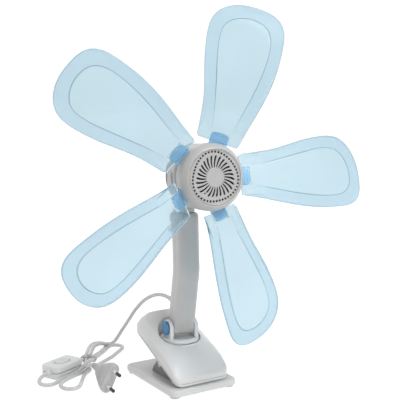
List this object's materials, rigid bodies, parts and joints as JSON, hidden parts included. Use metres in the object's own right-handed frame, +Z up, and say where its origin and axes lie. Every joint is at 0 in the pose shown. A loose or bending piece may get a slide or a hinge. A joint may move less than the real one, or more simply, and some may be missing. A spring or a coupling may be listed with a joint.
{
  "type": "desk fan",
  "caption": "Clip-on desk fan with soft blue blades on a tilting motor head, a bent arm on a swivelling turntable and a spring clip base.",
  "frame": {"origin": "middle of the fan's own bounding box (without its lead) at table level, on the underside of the feet", "axes": "+Z up, front of the clip faces -Y, +X to the fan's own left as it faces the viewer"},
  "size_m": [0.36, 0.2996, 0.4365],
  "materials": {
    "white_plastic": "satin white injection-moulded plastic",
    "arm_plastic": "fine-grained light grey plastic",
    "dark_metal": "dark grey satin paint",
    "rubber_pads": "soft matt grey rubber",
    "steel": "zinc-plated steel",
    "winding_wire": "enamelled copper wire",
    "hub_blue": "glossy mid-blue plastic",
    "blade_blue": "frosted pale blue, slightly see-through soft plastic",
    "cord_grey": "light grey PVC sheath",
    "tie_grey": "plastic-coated twist tie",
    "switch_grey": "light grey plastic",
    "pin_brass": "nickel-plated pins with grey sleeves"
  },
  "bodies": {
    "base": {"base_plate": "white_plastic", "base_weight": "steel", "foot_front_left": "rubber_pads", "foot_front_right": "rubber_pads", "foot_rear_left": "rubber_pads", "foot_rear_right": "rubber_pads", "lower_pad": "rubber_pads", "hinge_bracket": "dark_metal", "hinge_pin": "steel", "cord_lead": "cord_grey", "cord_hank": "cord_grey", "cord_tie": "tie_grey", "cord_plug_lead": "cord_grey", "switch_bottom": "switch_grey", "switch_top": "switch_grey", "plug_body": "switch_grey", "plug_pin_1": "pin_brass", "plug_pin_2": "pin_brass"},
    "rocker": {"switch_rocker": "switch_grey"},
    "jaw": {"upper_jaw": "white_plastic", "upper_pad": "rubber_pads", "jaw_bracket": "dark_metal", "clip_spring": "steel"},
    "turntable": {"turntable": "white_plastic", "turntable_washer": "steel", "turntable_screw": "steel", "pivot_bolt": "steel", "pivot_cap_left": "hub_blue", "pivot_cap_right": "hub_blue"},
    "arm": {"arm_front_shell": "arm_plastic", "arm_rear_shell": "arm_plastic", "arm_screw_1": "steel", "arm_screw_2": "steel", "arm_screw_3": "steel", "cord_gland": "cord_grey"},
    "head": {"motor_rear_cover": "arm_plastic", "motor_front_cover": "arm_plastic", "tilt_pin": "steel", "stator_core": "steel", "winding_rear": "winding_wire", "winding_front": "winding_wire", "bearing_rear": "steel", "bearing_front": "steel", "motor_screw_left": "steel", "motor_screw_right": "steel"},
    "rotor": {"shaft": "steel", "rotor_core": "steel", "hub_carrier": "hub_blue", "hub_nut": "steel", "dome": "white_plastic", "vent_grille": "white_plastic", "blade_1": "blade_blue", "blade_2": "blade_blue", "blade_3": "blade_blue", "blade_4": "blade_blue", "blade_5": "blade_blue"}
  },
  "joints": [
    {"name": "clip_open", "type": "hinge", "parent": "base", "child": "jaw", "pos_m": [0.00067, 0.03126, 0.024], "axis": [-1, 0, 0], "range_deg": [0, 28], "stiffness_Nm_per_rad": 2, "springref_deg": -34.38, "deforming": ["clip_spring", "cord_lead"]},
    {"name": "turntable_swivel", "type": "hinge", "parent": "jaw", "child": "turntable", "pos_m": [0.00067, 0.03326, 0.049], "axis": [0, 0, 1], "range_deg": [-45, 98]},
    {"name": "arm_tilt", "type": "hinge", "parent": "turntable", "child": "arm", "pos_m": [-0.00017, 0.02731, 0.0665], "axis": [0.9903, -0.1392, 0], "range_deg": [-20, 25]},
    {"name": "head_tilt", "type": "hinge", "parent": "arm", "child": "head", "pos_m": [-0.00184, 0.01543, 0.2477], "axis": [0.9903, -0.1392, 0], "range_deg": [-30, 15]},
    {"name": "rotor_spin", "type": "hinge", "parent": "head", "child": "rotor", "pos_m": [-0.00184, 0.01543, 0.2477], "axis": [-0.1387, -0.9872, 0.0785], "continuous": true},
    {"name": "switch_press", "type": "hinge", "parent": "base", "child": "rocker", "pos_m": [-0.11133, 0.12426, 0.01], "axis": [-0.4067, 0.9135, 0], "range_deg": [-7, 7]}
  ]
}
